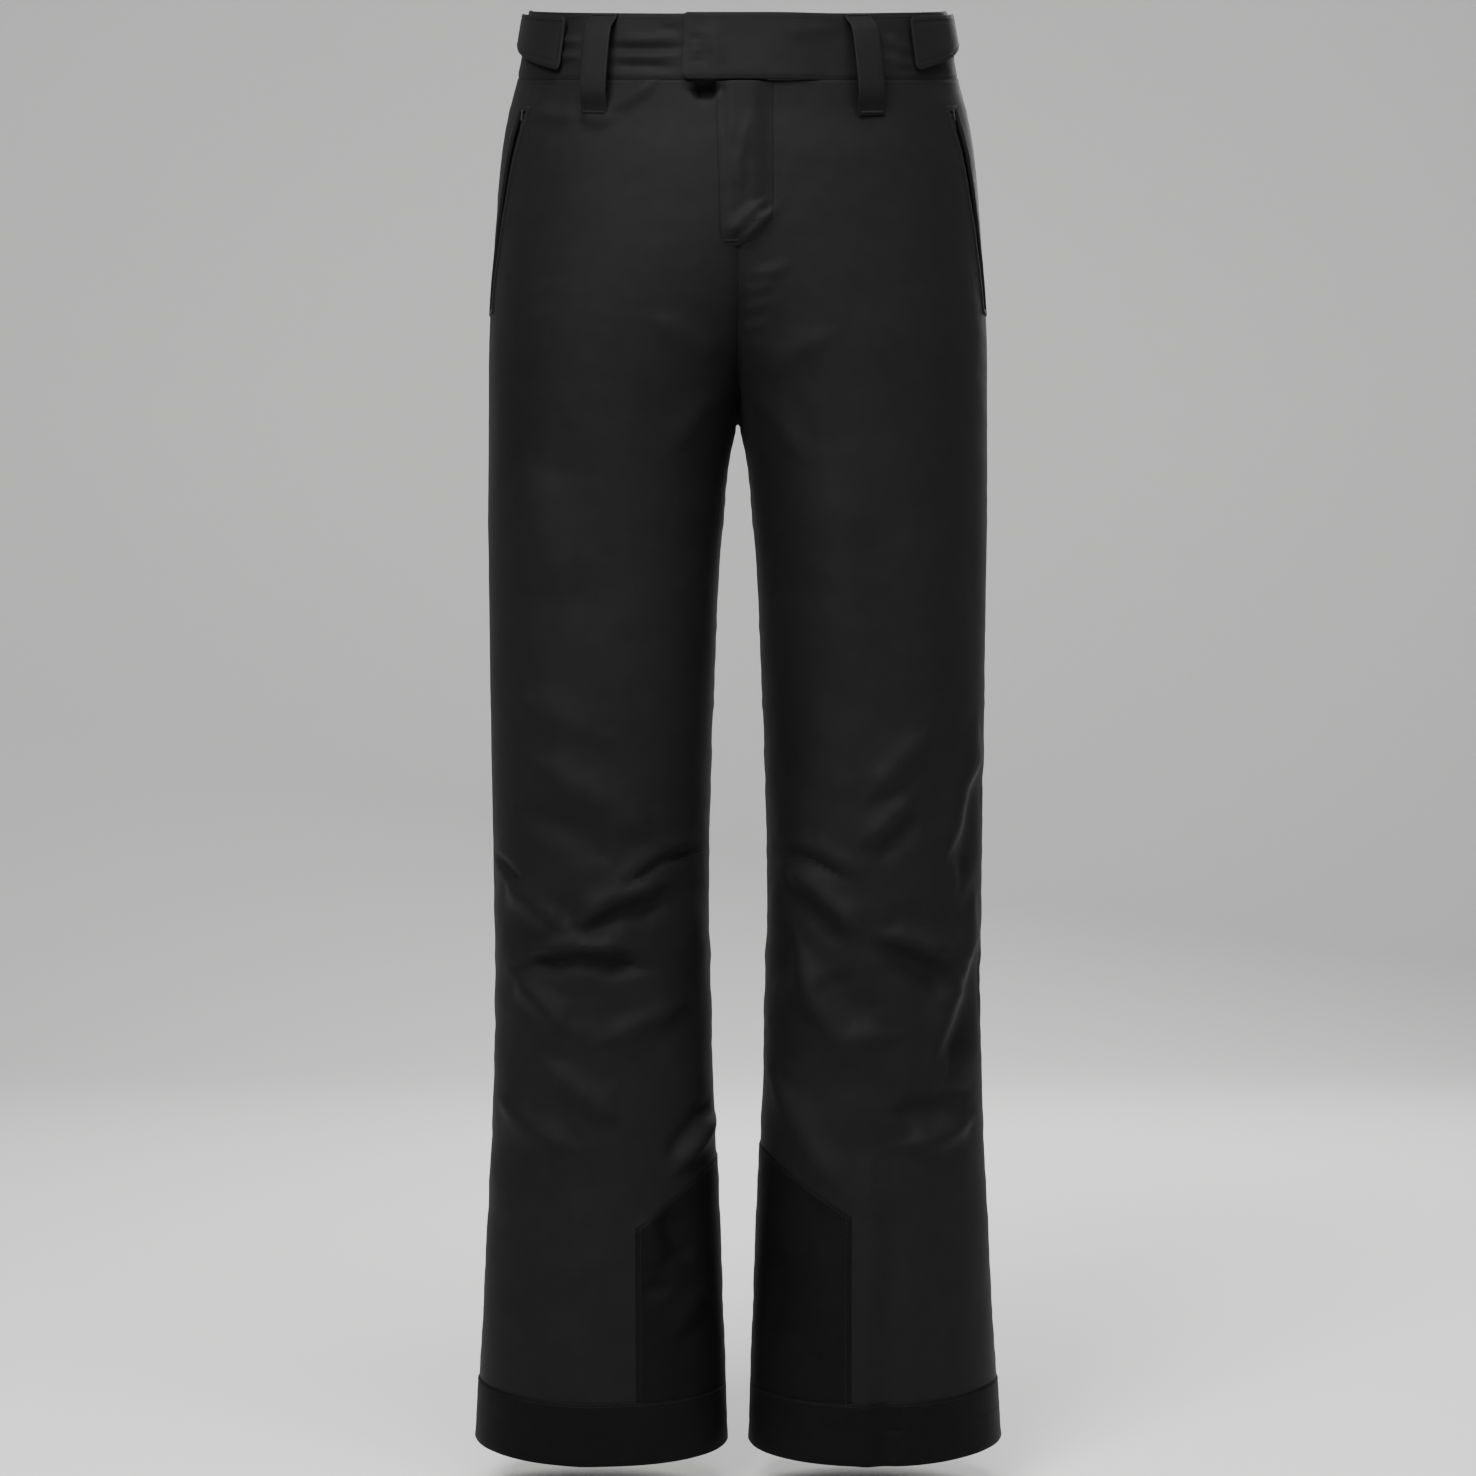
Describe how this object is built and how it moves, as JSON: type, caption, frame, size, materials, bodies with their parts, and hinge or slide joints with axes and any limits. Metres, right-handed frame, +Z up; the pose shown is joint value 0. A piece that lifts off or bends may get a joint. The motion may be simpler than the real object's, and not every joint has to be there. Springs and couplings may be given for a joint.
{
  "type": "ski pants",
  "caption": "Straight-leg insulated ski pants with snap waist, zipped fly and pockets, waist adjusters, belt loops, reinforced hems and inner snow gaiters.",
  "frame": {"origin": "middle of the waist opening, level with the waistband's top edge at the side seams", "axes": "+Z up, +X to the wearer's left, -Y to the front"},
  "size_m": [0.3796, 0.2334, 1.0497],
  "materials": {
    "shell_twill": "matte black fine twill shell fabric, laminated",
    "tough_fabric": "darker dense abrasion-resistant weave",
    "lining_tricot": "brushed knit lining",
    "gaiter_taffeta": "thin plain-weave taffeta",
    "elastic": "ribbed woven elastic",
    "loop_webbing": "folded shell fabric strap",
    "hook_tape": "moulded hook tape",
    "loop_tape": "brushed loop tape",
    "snap_metal": "dark painted snap",
    "zip_tape": "herringbone zip tape",
    "zip_coil": "nylon coil",
    "zip_metal": "black painted die-cast slider",
    "hook_steel": "black painted wire hook"
  },
  "bodies": {
    "garment": {"waistband_left": "shell_twill", "waistband_right": "shell_twill", "waistband_back": "shell_twill", "front_thigh_panel_left": "shell_twill", "front_thigh_panel_right": "shell_twill", "back_thigh_panel_left": "shell_twill", "back_thigh_panel_right": "shell_twill", "front_knee_panel_left": "shell_twill", "front_knee_panel_right": "shell_twill", "back_knee_panel_left": "shell_twill", "back_knee_panel_right": "shell_twill", "waistband_lining": "lining_tricot", "fly_facing": "lining_tricot", "fly_shield": "lining_tricot", "pocket_bag_left": "lining_tricot", "pocket_bag_right": "lining_tricot", "waistband_elastic": "elastic", "belt_loop_front_left": "loop_webbing", "belt_loop_front_right": "loop_webbing", "belt_loop_back_left": "loop_webbing", "belt_loop_back_right": "loop_webbing", "belt_loop_centre_back": "loop_webbing", "adjuster_loop_patch_left": "loop_tape", "adjuster_loop_patch_right": "loop_tape", "snap_studs": "snap_metal", "fly_zip_tapes": "zip_tape", "pocket_zip_tapes_left": "zip_tape", "pocket_zip_tapes_right": "zip_tape", "fly_zip_coil": "zip_coil", "pocket_zip_coil_left": "zip_coil", "pocket_zip_coil_right": "zip_coil"},
    "fly_overlap": {"closure_tab": "shell_twill", "fly_flap": "shell_twill", "snap_sockets": "snap_metal"},
    "fly_slider": {"fly_zip_slider": "zip_metal", "fly_zip_pull": "zip_metal"},
    "adjuster_left": {"adjuster_tab_left": "shell_twill", "adjuster_hook_patch_left": "hook_tape"},
    "pocket_slider_left": {"pocket_zip_slider_left": "zip_metal"},
    "pocket_pull_left": {"pocket_zip_pull_left": "zip_metal"},
    "lower_leg_left": {"front_shin_panel_left": "shell_twill", "back_calf_panel_left": "shell_twill", "hem_band_left": "tough_fabric", "scuff_guard_left": "tough_fabric", "snow_gaiter_left": "gaiter_taffeta", "gaiter_elastic_left": "elastic", "gaiter_hook_left": "hook_steel"},
    "adjuster_right": {"adjuster_tab_right": "shell_twill", "adjuster_hook_patch_right": "hook_tape"},
    "pocket_slider_right": {"pocket_zip_slider_right": "zip_metal"},
    "pocket_pull_right": {"pocket_zip_pull_right": "zip_metal"},
    "lower_leg_right": {"front_shin_panel_right": "shell_twill", "back_calf_panel_right": "shell_twill", "hem_band_right": "tough_fabric", "scuff_guard_right": "tough_fabric", "snow_gaiter_right": "gaiter_taffeta", "gaiter_elastic_right": "elastic", "gaiter_hook_right": "hook_steel"}
  },
  "joints": [
    {"name": "fly_overlap_hinge", "type": "hinge", "parent": "garment", "child": "fly_overlap", "pos_m": [0.022, -0.10154, -0.0264], "axis": [0, 0.0326, 0.9995], "range_deg": [0, 100]},
    {"name": "fly_slider_slide", "type": "slide", "parent": "garment", "child": "fly_slider", "axis": [0, -0.0354, -0.9994], "range_m": [0, 0.09]},
    {"name": "adjuster_peel_left", "type": "hinge", "parent": "garment", "child": "adjuster_left", "pos_m": [0.14817, 0.0421, -0.0114], "axis": [0, 0, 1], "range_deg": [0, 110]},
    {"name": "pocket_slide_left", "type": "slide", "parent": "garment", "child": "pocket_slider_left", "axis": [0.1712, 0.1278, -0.9769], "range_m": [0, 0.118]},
    {"name": "pocket_pull_swing_left", "type": "hinge", "parent": "pocket_slider_left", "child": "pocket_pull_left", "pos_m": [0.1521, -0.0433, -0.08511], "axis": [-0.3445, -0.9212, -0.1808], "range_deg": [0, 120]},
    {"name": "knee_bend_left", "type": "hinge", "parent": "garment", "child": "lower_leg_left", "pos_m": [0.0987, -0.002, -0.615], "axis": [1, 0, 0], "range_deg": [0, 90], "deforming": ["front_knee_panel_left", "back_knee_panel_left"]},
    {"name": "adjuster_peel_right", "type": "hinge", "parent": "garment", "child": "adjuster_right", "pos_m": [-0.14817, 0.0421, -0.0114], "axis": [0, 0, -1], "range_deg": [0, 110]},
    {"name": "pocket_slide_right", "type": "slide", "parent": "garment", "child": "pocket_slider_right", "axis": [-0.1712, 0.1278, -0.9769], "range_m": [0, 0.118]},
    {"name": "pocket_pull_swing_right", "type": "hinge", "parent": "pocket_slider_right", "child": "pocket_pull_right", "pos_m": [-0.1521, -0.0433, -0.08511], "axis": [-0.3445, 0.9212, 0.1808], "range_deg": [0, 120]},
    {"name": "knee_bend_right", "type": "hinge", "parent": "garment", "child": "lower_leg_right", "pos_m": [-0.0987, -0.002, -0.615], "axis": [1, 0, 0], "range_deg": [0, 90], "deforming": ["front_knee_panel_right", "back_knee_panel_right"]}
  ]
}
